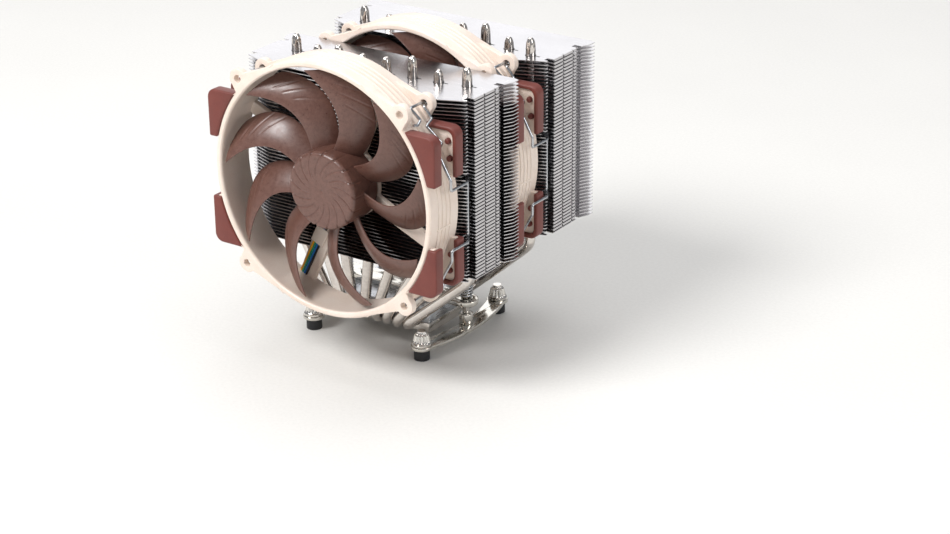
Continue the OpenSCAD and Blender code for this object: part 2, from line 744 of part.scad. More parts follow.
module clip_ends() {
    color("#b4b7ba") for (sx = [-1, 1]) scale([sx, 1, 1]) {
        tube(upper_wire, wire_r);
        tube(lower_wire, wire_r);
    }
}

module clip(sx) {
    color("#b4b7ba") scale([sx, 1, 1]) {
        tube(bail_wire, wire_r);
        for (z = [arm_up + 0.8, arm_down - stub + slip]) translate([swing_x, swing_y, z])
            cylinder(h = stub - slip - 0.8, r = wire_r + eps);
    }
}

// ---------- front fan and middle fan ----------

module front_fan_frame() { in_unit(front_unit_y) fan_frame(); }
module front_fan_front_pads() { in_unit(front_unit_y) pads(true); }
module front_fan_rear_pads() { in_unit(front_unit_y) pads(false); }
module front_impeller() { in_unit(front_unit_y) impeller(); }
module front_rotor_cup() { in_unit(front_unit_y) rotor_cup(); }
module front_magnet() { in_unit(front_unit_y) magnet(); }
module front_shaft() { in_unit(front_unit_y) shaft(); }
module front_bush() { in_unit(front_unit_y) bush(); }
module front_stator() { in_unit(front_unit_y) stator(); }
module front_coils() { in_unit(front_unit_y) coils(); }
module front_circuit_board() { in_unit(front_unit_y) circuit_board(); }
module front_leads() { in_unit(front_unit_y) leads(); }
module front_lead_cover() { in_unit(front_unit_y) lead_cover(); }
module front_clip_ends() { in_unit(front_unit_y) clip_ends(); }
module front_left_clip() { in_unit(front_unit_y) clip(-1); }
module front_right_clip() { in_unit(front_unit_y) clip(1); }
module middle_fan_frame() { in_unit(rear_unit_y) fan_frame(); }
module middle_fan_front_pads() { in_unit(rear_unit_y) pads(true); }
module middle_fan_rear_pads() { in_unit(rear_unit_y) pads(false); }
module middle_impeller() { in_unit(rear_unit_y) impeller(); }
module middle_rotor_cup() { in_unit(rear_unit_y) rotor_cup(); }
module middle_magnet() { in_unit(rear_unit_y) magnet(); }
module middle_shaft() { in_unit(rear_unit_y) shaft(); }
module middle_bush() { in_unit(rear_unit_y) bush(); }
module middle_stator() { in_unit(rear_unit_y) stator(); }
module middle_coils() { in_unit(rear_unit_y) coils(); }
module middle_circuit_board() { in_unit(rear_unit_y) circuit_board(); }
module middle_leads() { in_unit(rear_unit_y) leads(); }
module middle_lead_cover() { in_unit(rear_unit_y) lead_cover(); }
module middle_clip_ends() { in_unit(rear_unit_y) clip_ends(); }
module middle_left_clip() { in_unit(rear_unit_y) clip(-1); }
module middle_right_clip() { in_unit(rear_unit_y) clip(1); }

cold_plate();
base_cover();
cover_screws();
crossbar();
left_spring_screw();
right_spring_screw();
left_spring();
right_spring();
left_mounting_bar();
right_mounting_bar();
screw_posts();
standoffs();
thumb_nuts();
heat_pipe_1();
heat_pipe_2();
heat_pipe_3();
heat_pipe_4();
heat_pipe_5();
heat_pipe_6();
heat_pipe_7();
heat_pipe_8();
front_fins();
front_top_fin();
rear_fins();
rear_top_fin();
front_fan_frame();
front_fan_front_pads();
front_fan_rear_pads();
front_impeller();
front_rotor_cup();
front_magnet();
front_shaft();
front_bush();
front_stator();
front_coils();
front_circuit_board();
front_leads();
front_lead_cover();
front_clip_ends();
front_left_clip();
front_right_clip();
middle_fan_frame();
middle_fan_front_pads();
middle_fan_rear_pads();
middle_impeller();
middle_rotor_cup();
middle_magnet();
middle_shaft();
middle_bush();
middle_stator();
middle_coils();
middle_circuit_board();
middle_leads();
middle_lead_cover();
middle_clip_ends();
middle_left_clip();
middle_right_clip();
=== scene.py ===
import json
import math
import bpy
from mathutils import Matrix, Vector


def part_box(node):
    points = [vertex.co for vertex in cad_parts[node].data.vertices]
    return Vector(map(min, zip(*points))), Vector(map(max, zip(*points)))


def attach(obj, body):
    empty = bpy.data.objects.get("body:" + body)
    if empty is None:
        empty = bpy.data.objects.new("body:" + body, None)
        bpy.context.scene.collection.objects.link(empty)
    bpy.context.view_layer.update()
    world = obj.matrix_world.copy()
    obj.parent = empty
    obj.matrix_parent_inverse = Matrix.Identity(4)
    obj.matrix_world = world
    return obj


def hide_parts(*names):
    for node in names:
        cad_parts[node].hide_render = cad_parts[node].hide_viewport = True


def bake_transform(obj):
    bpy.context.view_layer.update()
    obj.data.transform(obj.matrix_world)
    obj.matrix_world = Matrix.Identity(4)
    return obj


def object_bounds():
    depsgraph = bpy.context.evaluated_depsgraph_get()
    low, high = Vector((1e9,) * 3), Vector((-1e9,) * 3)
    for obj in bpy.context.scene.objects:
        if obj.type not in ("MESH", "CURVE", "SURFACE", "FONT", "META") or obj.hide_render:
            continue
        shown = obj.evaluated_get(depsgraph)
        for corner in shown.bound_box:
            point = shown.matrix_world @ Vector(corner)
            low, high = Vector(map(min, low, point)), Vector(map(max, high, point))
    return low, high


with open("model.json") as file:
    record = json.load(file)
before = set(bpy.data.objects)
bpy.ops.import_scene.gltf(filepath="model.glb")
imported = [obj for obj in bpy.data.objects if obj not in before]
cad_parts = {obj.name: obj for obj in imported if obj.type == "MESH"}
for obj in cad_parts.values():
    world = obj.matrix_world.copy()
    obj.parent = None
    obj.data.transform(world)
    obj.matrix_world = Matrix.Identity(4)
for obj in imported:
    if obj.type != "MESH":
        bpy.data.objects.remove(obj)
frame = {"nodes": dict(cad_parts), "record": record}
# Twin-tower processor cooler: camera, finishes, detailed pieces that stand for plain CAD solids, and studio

CAD_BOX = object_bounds()
MM = 0.001
NODES = frame["nodes"]


# ---------- camera ----------

def add_camera():
    """A long lens above and to the right of the front fan."""
    azimuth = math.radians(34.39)
    elevation = math.radians(23.42)
    roll = math.radians(-0.55)
    data = bpy.data.cameras.new("camera")
    data.sensor_width = 36.0
    data.lens = 85.3
    data.clip_start = 0.05
    data.clip_end = 50.0
    camera = bpy.data.objects.new("camera", data)
    bpy.context.scene.collection.objects.link(camera)
    turn = Matrix.Rotation(azimuth, 4, "Z") @ Matrix.Rotation(math.pi / 2 - elevation, 4, "X")
    place = Matrix.Translation((0.6946, -0.9449, 0.5323))
    camera.matrix_world = place @ turn @ Matrix.Rotation(roll, 4, "Z")
    bpy.context.scene.camera = camera


add_camera()


# ---------- small modelling tools ----------

def only_nothing():
    """Leaves edit mode and clears the selection."""
    if bpy.context.object and bpy.context.object.mode != "OBJECT":
        bpy.ops.object.mode_set(mode="OBJECT")
    bpy.ops.object.select_all(action="DESELECT")


def only(piece):
    """Selects one object and nothing else."""
    only_nothing()
    piece.select_set(True)
    bpy.context.view_layer.objects.active = piece


def edit(piece):
    """Opens a mesh in edit mode with everything selected."""
    only(piece)
    bpy.ops.object.mode_set(mode="EDIT")
    bpy.ops.mesh.select_all(action="SELECT")


def leave_edit():
    """Back to object mode."""
    bpy.ops.object.mode_set(mode="OBJECT")


def settle(piece):
    """Puts an object's place, turn and size into its mesh."""
    only(piece)
    bpy.ops.object.transform_apply(location=True, rotation=True, scale=True)


def apply(piece, kind, **settings):
    """Adds a modifier with its settings and applies it."""
    only(piece)
    modifier = piece.modifiers.new(kind.lower(), kind)
    for key, value in settings.items():
        setattr(modifier, key, value)
    bpy.ops.object.modifier_apply(modifier=modifier.name)


def smooth(piece, degrees=35):
    """Shades a piece smooth except over edges sharper than an angle."""
    only(piece)
    bpy.ops.object.shade_smooth_by_angle(angle=math.radians(degrees))


def round_edges(piece, width, segments=3, degrees=35):
    """Rounds every edge that turns by more than an angle, and shades the piece."""
    apply(piece, "BEVEL", width=width * MM, segments=segments, limit_method="ANGLE",
          angle_limit=math.radians(degrees), use_clamp_overlap=False, miter_outer="MITER_ARC")
    smooth(piece)


def merged_copy(node, name):
    """A copy of a CAD node's mesh, with its loose triangles joined up."""
    piece = bpy.data.objects.new(name, NODES[node].data.copy())
    bpy.context.scene.collection.objects.link(piece)
    piece.data.materials.clear()
    edit(piece)
    bpy.ops.mesh.customdata_custom_splitnormals_clear()
    bpy.ops.mesh.remove_doubles(threshold=0.002 * MM)
    leave_edit()
    return piece


def softened(node, width, segments=3):
    """A CAD node's shape with its sharp edges rounded, as a moulding or a pressing has them."""
    piece = merged_copy(node, node + "_rounded")
    edit(piece)
    bpy.ops.mesh.dissolve_limited(angle_limit=math.radians(0.4))
    leave_edit()
    round_edges(piece, width, segments)
    return piece


def joined(pieces, name):
    """Several objects made into one mesh object."""
    only(pieces[0])
    for piece in pieces[1:]:
        piece.select_set(True)
    bpy.ops.object.join()
    pieces[0].name = name
    return pieces[0]


def copy_of(piece, name, shift=(0, 0, 0), mirror=False):
    """A copy with its own mesh, moved, or mirrored across X = 0."""
    twin = piece.copy()
    twin.data = piece.data.copy()
    twin.name = name
    bpy.context.scene.collection.objects.link(twin)
    if mirror:
        twin.data.transform(Matrix.Diagonal((-1, 1, 1, 1)))
        edit(twin)
        bpy.ops.mesh.flip_normals()
        leave_edit()
    twin.data.transform(Matrix.Translation(shift))
    return twin


def put(piece, name, body, nodes, slot, coated=False):
    """Names a finished piece, gives it its slot's finish if it has none, and ties it to the CAD."""
    piece.name = name
    if not coated:
        piece.data.materials.clear()
        piece.data.materials.append(FINISH[slot])
    if body:
        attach(piece, body)
    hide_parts(*nodes)
    return piece


def turned(name, profile, steps):
    """A shape turned about the Y axis: a circle drawn out through (radius, depth) pairs in millimetres."""
    only_nothing()
    radius, depth = profile[0]
    bpy.ops.mesh.primitive_circle_add(vertices=steps, radius=radius * MM, location=(0, depth * MM, 0),
                                      rotation=(math.pi / 2, 0, 0))
    piece = bpy.context.object
    settle(piece)
    edit(piece)
    for (r0, y0), (r1, y1) in zip(profile, profile[1:]):
        bpy.ops.mesh.extrude_edges_move(TRANSFORM_OT_translate={"value": (0, (y1 - y0) * MM, 0)})
        bpy.ops.transform.resize(value=(r1 / r0, 1, r1 / r0), center_override=(0, y1 * MM, 0))
    bpy.ops.mesh.select_all(action="SELECT")
    bpy.ops.mesh.remove_doubles(threshold=0.02 * MM)
    bpy.ops.mesh.normals_make_consistent(inside=False)
    leave_edit()
    piece.name = name
    return piece


def bent_route(points, bend, steps=6):
    """A route's corners rounded to a bend radius, all in millimetres."""
    points = [Vector(p) for p in points]
    route = [points[0]]
    for a, b, c in zip(points, points[1:], points[2:]):
        into, out = (b - a).normalized(), (c - b).normalized()
        turn = into.angle(out)
        if turn < 0.02:
            route.append(b)
            continue
        cut = min(bend * math.tan(turn / 2), (b - a).length * 0.48, (c - b).length * 0.48)
        start, end = b - into * cut, b + out * cut
        for k in range(steps + 1):
            t = k / steps
            route.append(start * (1 - t) ** 2 + b * 2 * t * (1 - t) + end * t ** 2)
    route.append(points[-1])
    return route


def wire(name, points, radius, bend, sides=4):
    """A round wire bent along a route given in millimetres."""
    data = bpy.data.curves.new(name, "CURVE")
    data.dimensions = "3D"
    data.bevel_depth = radius * MM
    data.bevel_resolution = sides
    data.use_fill_caps = True
    route = bent_route(points, bend)
    spline = data.splines.new("POLY")
    spline.points.add(len(route) - 1)
    for point, at in zip(spline.points, route):
        point.co = (*(at * MM), 1)
    piece = bpy.data.objects.new(name, data)
    bpy.context.scene.collection.objects.link(piece)
    only(piece)
    bpy.ops.object.convert(target="MESH")
    piece = bpy.context.object
    edit(piece)
    bpy.ops.mesh.remove_doubles(threshold=0.002 * MM)
    bpy.ops.mesh.normals_make_consistent(inside=False)
    leave_edit()
    smooth(piece, 50)
    return piece


# ---------- finishes ----------

def linear(code):
    """An sRGB hex colour as linear values."""
    values = [int(code[i:i + 2], 16) / 255 for i in (1, 3, 5)]
    return (*[v / 12.92 if v <= 0.04045 else ((v + 0.055) / 1.055) ** 2.4 for v in values], 1.0)


def add(tree, kind, inputs=None, **settings):
    """Adds a node with its settings, and sets or links its inputs."""
    made = tree.nodes.new("ShaderNode" + kind)
    for key, value in settings.items():
        setattr(made, key, value)
    for socket, value in (inputs or {}).items():
        if isinstance(value, bpy.types.NodeSocket):
            tree.links.new(value, made.inputs[socket])
        else:
            made.inputs[socket].default_value = value
    return made


def finish(name, dark, light, roughness, metallic=0.0, grain=0.4, bump=0.02, spread=0.08, stretch=(1, 1, 1),
           blotch=9.0, **shader_inputs):
    """A surface whose colour drifts between two shades over blotches, with a fine grain. Sizes are in mm."""
    material = bpy.data.materials.new(name)
    material.use_nodes = True
    tree = material.node_tree
    shader = tree.nodes["Principled BSDF"]
    place = add(tree, "TexCoord").outputs["Object"]
    fine_place = add(tree, "Mapping", {"Vector": place, "Scale": stretch}).outputs["Vector"]
    fine = add(tree, "TexNoise", {"Vector": fine_place, "Scale": 1 / (grain * MM),
                                  "Detail": 3.0}).outputs["Fac"]
    wide = add(tree, "TexNoise", {"Vector": place, "Scale": 1 / (blotch * MM), "Detail": 4.0,
                                  "Roughness": 0.6}).outputs["Fac"]
    both = add(tree, "Math", {0: fine, 1: wide}, operation="ADD").outputs[0]
    share = add(tree, "MapRange", {"Value": both, "From Min": 0.75, "From Max": 1.25}).outputs["Result"]
    colour = add(tree, "Mix", {"Factor": share, "A": linear(dark), "B": linear(light)}, data_type="RGBA")
    tree.links.new(colour.outputs[2], shader.inputs["Base Color"])
    rough = add(tree, "MapRange", {"Value": both, "From Min": 0.7, "From Max": 1.3,
                                   "To Min": roughness - spread, "To Max": roughness + spread})
    tree.links.new(rough.outputs["Result"], shader.inputs["Roughness"])
    relief = add(tree, "Bump", {"Height": fine, "Distance": bump * MM, "Strength": 1.0})
    tree.links.new(relief.outputs["Normal"], shader.inputs["Normal"])
    shader.inputs["Metallic"].default_value = metallic
    for socket, value in shader_inputs.items():
        shader.inputs[socket.replace("_", " ")].default_value = value
    return material


def make_finishes():
    """Every finish on the cooler, by the name of the record's slot it belongs to."""
    f = {}
    # Rolled aluminium sheet, nickel-plated: satin, with faint rolling lines across the fin
    f["plated_fin"] = finish("nickel_plated_aluminium_sheet", "#BDBBBD", "#CBC9CB", 0.25, 1.0, grain=0.6,
                             bump=0.0015, spread=0.03, stretch=(0.05, 1, 1), blotch=40)
    # Copper tube plated in bright nickel: clear reflections with a slight ripple from bending
    f["plated_pipe"] = finish("nickel_plated_copper_tube", "#C9C2BC", "#DDD7D1", 0.09, 1.0, grain=1.5,
                              bump=0.003, spread=0.03, blotch=9)
    # Nickel-plated copper ground flat: fine straight grinding marks
    f["plated_copper"] = finish("ground_nickel_on_copper", "#C9C4BE", "#DDD8D2", 0.22, 1.0, grain=0.35,
                                bump=0.008, spread=0.06, stretch=(0.03, 1, 1))
    # Milled aluminium under nickel: soft satin with milling lines
    f["machined_aluminium"] = finish("milled_aluminium", "#B9BCC2", "#D2D4D8", 0.3, 1.0, grain=0.4, bump=0.01,
                                     spread=0.07, stretch=(1, 0.05, 1))
    # Turned steel in bright nickel: mirror-like with light turning marks
    f["nickel_steel_turned"] = finish("bright_nickel_turned_steel", "#CBC7C0", "#E4E0DA", 0.12, 1.0,
                                      grain=0.5, bump=0.004, spread=0.04, stretch=(1, 1, 6))
    # Pressed steel strip in bright nickel: mirror-like, a little wavy
    f["nickel_steel_plate"] = finish("bright_nickel_steel_strip", "#C8C4BC", "#E2DED6", 0.14, 1.0, grain=3.0,
                                     bump=0.012, spread=0.05, blotch=12)
    # Drawn spring wire: greyer steel with a fine draw grain
    f["spring_steel"] = finish("drawn_spring_wire", "#9A9DA1", "#C6C8CB", 0.22, 1.0, grain=0.3, bump=0.004,
                               spread=0.06)
    # Nylon, moulded black and matt
    f["black_nylon"] = finish("moulded_black_nylon", "#151517", "#222225", 0.55, grain=0.5, bump=0.012)
    # Glass-filled PBT, moulded cream: soft satin with a fine spark-eroded grain
    f["cream_plastic"] = finish("moulded_cream_pbt", "#DECBBC", "#E9DBCF", 0.4, grain=0.35, bump=0.01,
                                spread=0.05, blotch=16, Subsurface_Weight=0.05,
                                Subsurface_Radius=(0.004, 0.003, 0.002), Subsurface_Scale=0.5)
    # Silicone rubber, moulded brick red: dull with a fine even grain and a dry bloom at grazing angles
    f["brick_rubber"] = finish("moulded_brick_silicone", "#642A22", "#73362D", 0.5, grain=0.3, bump=0.01,
                               spread=0.06, blotch=11, Sheen_Weight=0.12, Sheen_Roughness=0.4)
    # Glass-filled PBT, moulded brown: satin, with the mottled flow marks of the fibre filling
    f["brown_plastic"] = finish("moulded_brown_pbt", "#583A31", "#6C4B41", 0.35, grain=0.5, bump=0.018,
                                spread=0.08, blotch=2.2, Specular_IOR_Level=0.6)
    # Inside the fans: drawn cup steel, dull bonded magnet, polished shaft, turned bush,
    # stacked sheet with its layers showing, copper under amber enamel
    f["rotor_steel"] = finish("drawn_rotor_steel", "#7C7F83", "#9DA0A4", 0.3, 1.0, grain=0.6, bump=0.005)
    f["ferrite"] = finish("bonded_ferrite", "#2A2526", "#3B3536", 0.6, grain=0.3, bump=0.01)
    f["shaft_steel"] = finish("ground_shaft_steel", "#C2C4C7", "#D8DADC", 0.1, 1.0, grain=0.3, bump=0.002,
                              spread=0.03)
    f["bush_brass"] = finish("turned_brass", "#A8823C", "#C9A050", 0.22, 1.0, grain=0.4, bump=0.004)
    f["lamination_steel"] = finish("stacked_lamination_steel", "#66696E", "#84888D", 0.38, 1.0, grain=0.5,
                                   bump=0.02, stretch=(0.1, 1, 0.1))
    f["enamelled_copper"] = finish("enamelled_winding_copper", "#8E4522", "#B9683A", 0.25, 0.8, grain=0.35,
                                   bump=0.03, stretch=(1, 0.1, 1))
    # Circuit board: dark green lacquer, glossy
    f["board_laminate"] = finish("green_glass_epoxy_board", "#1E4A2E", "#2A6240", 0.32, grain=0.5, bump=0.004)
    # Cable insulation, one colour for each lead: smooth, slightly waxy
    f["lead_insulation"] = finish("black_lead_insulation", "#101012", "#1B1B1E", 0.35, grain=0.6, bump=0.006)
    f["yellow_lead"] = finish("yellow_lead_insulation", "#EFA510", "#F8B828", 0.35, grain=0.6, bump=0.006)
    f["green_lead"] = finish("green_lead_insulation", "#129078", "#1CA88A", 0.35, grain=0.6, bump=0.006)
    f["blue_lead"] = finish("blue_lead_insulation", "#1268B4", "#1F80CC", 0.35, grain=0.6, bump=0.006)
    return f


FINISH = make_finishes()


def coat_cad_nodes():
    """Every CAD node gets the finish of its material slot."""
    for part in frame["record"]["subparts"]:
        mesh = NODES[part["node"]].data
        mesh.materials.clear()
        mesh.materials.append(FINISH[part["material_slot"]])


coat_cad_nodes()


# ---------- places taken from the CAD ----------

def fan_place(unit):
    """Centre of a fan's front face."""
    low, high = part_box(unit + "_fan_frame")
    return Vector(((low.x + high.x) / 2, low.y, (low.z + high.z) / 2))


FAN = {unit: fan_place(unit) for unit in ("front", "middle")}
# The hub is its steel cup's radius and the moulded wall round it
HUB_WALL = 1.55
HUB_R = (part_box("front_rotor_cup")[1].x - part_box("front_rotor_cup")[0].x) / 2 / MM + HUB_WALL
FAN_DEPTH = 25.0
FAN_R = 70.5


# ---------- impeller ----------

CAP_FRONT = 0.8
HUB_END = 21.3
BLADE_COUNT = 9
BLADE_ROOT = 20.75
BLADE_TIP = 65.3
BLADE_THICK = 2.1
BLADE_CAMBER = 1.2
HUB_RIM = 2.2
HUB_STEPS = 544
SWIRL_COUNT = 17
SWIRL_IN = 7.5
SWIRL_TURN = 30
# Each long groove on a blade, as its radius near the blade's middle line and at the trailing edge
BLADE_GROOVES = ((50.2, 45.0), (55.2, 51.5), (59.6, 57.0))
GROOVE_DEPTH = 0.3
GROOVE_HALF_WIDTH = 0.55


def smoothstep(low, high, value):
    """Runs from 0 at low to 1 at high with soft ends."""
    t = min(max((value - low) / (high - low), 0), 1)
    return t * t * (3 - 2 * t)


def cut_swirls(hub):
    """Fine curved grooves on the hub's face, from its middle out over the rim, and a dimple at the centre."""
    for vertex in hub.data.vertices:
        x, y, z = vertex.co / MM
        r = math.hypot(x, z)
        if y < 4.0:
            turn = math.degrees(math.atan2(z, x)) - SWIRL_TURN * (1 - (r - SWIRL_IN) / (HUB_R - SWIRL_IN))
            gap = (turn * SWIRL_COUNT / 360 + 0.5) % 1 - 0.5
            off = abs(gap) * 2 * math.pi * r / SWIRL_COUNT
            rim = smoothstep(HUB_R - 5, HUB_R - 1, r)
            groove = max(0.0, 1 - (off / (0.42 + 0.25 * rim)) ** 2)
            depth = (0.32 + 0.28 * rim) * groove * smoothstep(SWIRL_IN, SWIRL_IN + 3, r)
            dimple = 0.5 * math.exp(-(r / 0.7) ** 2) + 0.25 * math.exp(-(r / 3.4) ** 2)
            vertex.co.y += (depth * smoothstep(4.0, 1.5, y) + dimple) * MM
            if y > CAP_FRONT + 0.2 and r > HUB_R - 2:
                vertex.co.x -= depth * 0.6 * MM * x / r
                vertex.co.z -= depth * 0.6 * MM * z / r


def make_hub():
    """The hub moulding: a closely ringed face for the swirls, a rounded rim, a skirt and the boss inside."""
    face = [(0.05, CAP_FRONT)] + [(r, CAP_FRONT) for r in (0.5, 1.0, 1.5, 2.2, 3, 4, 5, 6, 7)]
    face += [(SWIRL_IN + 0.6 * k, CAP_FRONT) for k in range(19)]
    edge = [(HUB_R - HUB_RIM + HUB_RIM * math.sin(a), CAP_FRONT + HUB_RIM * (1 - math.cos(a)))
            for a in (math.pi / 2 * k / 8 for k in range(9))]
    wall = [(HUB_R, y) for y in (3.0, 3.6, 9, 15, HUB_END - 0.3)]
    wall += [(HUB_R - 0.3, HUB_END), (20.0, HUB_END)]
    inside = [(20.0, 3.0), (5.0, 3.0), (5.0, 8.0), (2.0, 8.0), (2.0, 3.2), (0.05, 3.2)]
    hub = turned("hub", face + edge + wall + inside, HUB_STEPS)
    cut_swirls(hub)
    smooth(hub, 40)
    return hub


def blade_radius(x):
    """Radius along a blade, where x runs from -1 at the hub to 1 at the tip."""
    return (BLADE_ROOT + BLADE_TIP) / 2 + (BLADE_TIP - BLADE_ROOT) / 2 * x


def blade_edges(x):
    """A blade's leading edge and trailing edge: each an angle in degrees and a depth in millimetres."""
    # Both edges lean round the axis towards the tip, and stand further forward there than at the hub
    lead = (79.3 + 11.9 * x + 11.7 * x * x - 4.9 * x ** 3, 6.2 - 3.9 * x - 0.6 * x * x)
    trail = (56.3 + 12.1 * x + 9.6 * x * x + 2.8 * x ** 3, 18 - 2.2 * x - 1.8 * x * x)
    return lead, trail


def blade_groove(r, chord):
    """Depth of the three long grooves on a blade's outer part."""
    depth = 0.0
    for start, end in BLADE_GROOVES:
        line = end + (start - end) * (chord + 1) / 1.25
        round_bottom = max(0.0, 1 - ((r - line) / GROOVE_HALF_WIDTH) ** 2)
        depth += GROOVE_DEPTH * round_bottom * smoothstep(0.3, 0.1, chord)
    return depth


def make_blade():
    """One swept blade: a grid laid over the blade's curved surface and thickened, with a rim closing its
    edges.
    """
    only_nothing()
    bpy.ops.mesh.primitive_grid_add(x_subdivisions=110, y_subdivisions=26, size=2)
    blade = bpy.context.object
    group = blade.vertex_groups.new(name="thickness")
    for vertex in blade.data.vertices:
        x, chord = vertex.co.x, vertex.co.y
        (lead_turn, lead_y), (trail_turn, trail_y) = blade_edges(x)
        turn = math.radians((lead_turn + trail_turn) / 2 + (lead_turn - trail_turn) / 2 * chord)
        y = (lead_y + trail_y) / 2 + (lead_y - trail_y) / 2 * chord - BLADE_CAMBER * (1 - chord * chord)
        r = blade_radius(x)
        vertex.co = Vector((r * math.cos(turn), y, r * math.sin(turn))) * MM
        group.add([vertex.index], (1 - 0.62 * chord * chord) * (0.87 - 0.13 * x), "REPLACE")
    apply(blade, "SOLIDIFY", thickness=BLADE_THICK * MM, offset=0, vertex_group="thickness",
          thickness_vertex_group=0.0, use_rim=True, use_even_offset=True)
    edit(blade)
    bpy.ops.mesh.normals_make_consistent(inside=False)
    leave_edit()
    return blade


def groove_blade(blade):
    """Presses the long grooves into the front side of a blade."""
    for vertex in blade.data.vertices:
        if vertex.normal.y < -0.25:
            x, _, z = vertex.co / MM
            r = math.hypot(x, z)
            span = (r - (BLADE_ROOT + BLADE_TIP) / 2) / ((BLADE_TIP - BLADE_ROOT) / 2)
            (lead_turn, _), (trail_turn, _) = blade_edges(span)
            turn = math.degrees(math.atan2(z, x))
            chord = (turn - (lead_turn + trail_turn) / 2) / ((lead_turn - trail_turn) / 2)
            vertex.co.y += blade_groove(r, chord) * MM


def make_impeller():
    """Hub and nine blades in one moulding, centred on the fan's axis."""
    hub = make_hub()
    blade = make_blade()
    groove_blade(blade)
    round_edges(blade, 0.2, 2, 60)
    blades = [blade]
    for k in range(1, BLADE_COUNT):
        twin = copy_of(blade, "blade")
        twin.data.transform(Matrix.Rotation(math.radians(360 * k / BLADE_COUNT), 4, "Y"))
        blades.append(twin)
    return joined([hub] + blades, "impeller")


impeller = make_impeller()
put(copy_of(impeller, "middle_impeller_moulding", FAN["middle"]), "middle_impeller_moulding", "middle_rotor",
    ["middle_impeller"], "brown_plastic")
impeller.data.transform(Matrix.Translation(FAN["front"]))
put(impeller, "front_impeller_moulding", "front_rotor", ["front_impeller"], "brown_plastic")


# ---------- fan frames and pads ----------

# Out from the ring, along the fan's depth and round the ring
RIB_SIZE = (1.0, 12.0, 1.3)
RIB_ANGLES = (-7, 187)


def cross_ribs():
    """Short ribs that cross the frame's raised rings at its sides."""
    ribs = []
    for degrees in RIB_ANGLES:
        a = math.radians(degrees)
        only_nothing()
        bpy.ops.mesh.primitive_cube_add(size=1)
        rib = bpy.context.object
        rib.data.transform(Matrix.Diagonal((*[size * MM for size in RIB_SIZE], 1)))
        rib.data.transform(Matrix.Translation((FAN_R * MM, FAN_DEPTH / 2 * MM, 0)))
        rib.data.transform(Matrix.Rotation(-a, 4, "Y"))
        ribs.append(rib)
    ribs = joined(ribs, "cross_ribs")
    round_edges(ribs, 0.3, 2)
    return ribs


def add_frame(unit):
    """A fan's frame with its edges rounded and its cross ribs added."""
    ribs = cross_ribs()
    ribs.data.transform(Matrix.Translation(FAN[unit]))
    frame_piece = joined([softened(unit + "_fan_frame", 0.3), ribs], "frame")
    put(frame_piece, unit + "_fan_frame_moulding", "root", [unit + "_fan_frame"],
        "cream_plastic")


def add_pads(unit):
    """The rubber corner pads on both faces of a fan."""
    for side in ("front", "rear"):
        node = "%s_fan_%s_pads" % (unit, side)
        put(softened(node, 1.0, 4), node + "_soft", "root", [node], "brick_rubber")


def add_lead_cover(unit):
    """The small cover that holds a fan's leads on its strut."""
    put(softened(unit + "_lead_cover", 0.3), unit + "_lead_cover_moulding", "root", [unit + "_lead_cover"],
        "cream_plastic")


for unit in ("front", "middle"):
    add_frame(unit)
    add_pads(unit)
    add_lead_cover(unit)


# ---------- wire clips ----------

# The clip's sizes in millimetres, measured from a fan's axis and front face
EAR_OFFSET = 3.75
PAD_OVERHANG = 3.2
WIRE_R = 0.8
SWING_X = FAN_R + PAD_OVERHANG + 0.4 + WIRE_R
SWING_Y = 12.0
ARM_UP = 12.5
ARM_DOWN = -20.5
STUB = 2.5
SEAT_X = 69.6
SEAT_Y = 34.35
EAR_MID = 23.2
EAR_NEAR = 19.9
PAD_NEAR = 17.2
LEG = 0.76
HOOK_BEND = 1.2
BAIL_BEND = 1.4


def beside(off, degrees, y):
    """A point beside the frame: distance out from it, angle round it and depth."""
    a = math.radians(degrees)
    return ((FAN_R + off) * math.cos(a), y, (FAN_R + off) * math.sin(a))


def make_clip_end():
    """The two hooked ends of the right-hand clip."""
    upper = [beside(3.4, 39, 5), beside(3.4, 38.3, 7.6), beside(4.1, 39.6, 11),
             beside(EAR_OFFSET, 45 + LEG, 10), beside(EAR_OFFSET, 45 + LEG, EAR_MID),
             beside(EAR_OFFSET, 45 - LEG, EAR_MID), beside(EAR_OFFSET, 45 - LEG, EAR_NEAR),
             beside(3.9, 38.2, EAR_NEAR - 0.5), beside(4.2, 36.6, 12.5),
             beside(4.5, 27.8, PAD_NEAR), beside(4.5, 25.9, 11), (SWING_X, SWING_Y, ARM_UP + STUB + 3),
             (SWING_X, SWING_Y, ARM_UP + STUB)]
    lower = [beside(4.2, -42, 5.2), beside(EAR_OFFSET, -45 - LEG, 8),
             beside(EAR_OFFSET, -45 - LEG, EAR_MID), beside(EAR_OFFSET, -45 + LEG, EAR_MID),
             beside(EAR_OFFSET, -45 + LEG, EAR_NEAR), beside(6.2, -42, PAD_NEAR),
             beside(9.5, -33.4, PAD_NEAR - 0.8), beside(6.6, -32.6, PAD_NEAR - 1),
             (SWING_X, SWING_Y, ARM_DOWN - STUB - 3), (SWING_X, SWING_Y, ARM_DOWN - STUB)]
    hooks = [wire("upper", upper, WIRE_R, HOOK_BEND), wire("lower", lower, WIRE_R, HOOK_BEND)]
    return joined(hooks, "clip_end")


def make_bail():
    """The middle of the right-hand clip, which swings on the frame and seats in the fins' groove."""
    corner_y = FAN_DEPTH + 1.5
    route = [(SWING_X, SWING_Y, ARM_UP + STUB), (SWING_X, SWING_Y, ARM_UP), (SWING_X, corner_y, ARM_UP),
             (SEAT_X, SEAT_Y, ARM_UP), (SEAT_X, SEAT_Y, ARM_DOWN), (SWING_X, corner_y, ARM_DOWN),
             (SWING_X, SWING_Y, ARM_DOWN), (SWING_X, SWING_Y, ARM_DOWN - STUB)]
    return wire("bail", route, WIRE_R, BAIL_BEND)


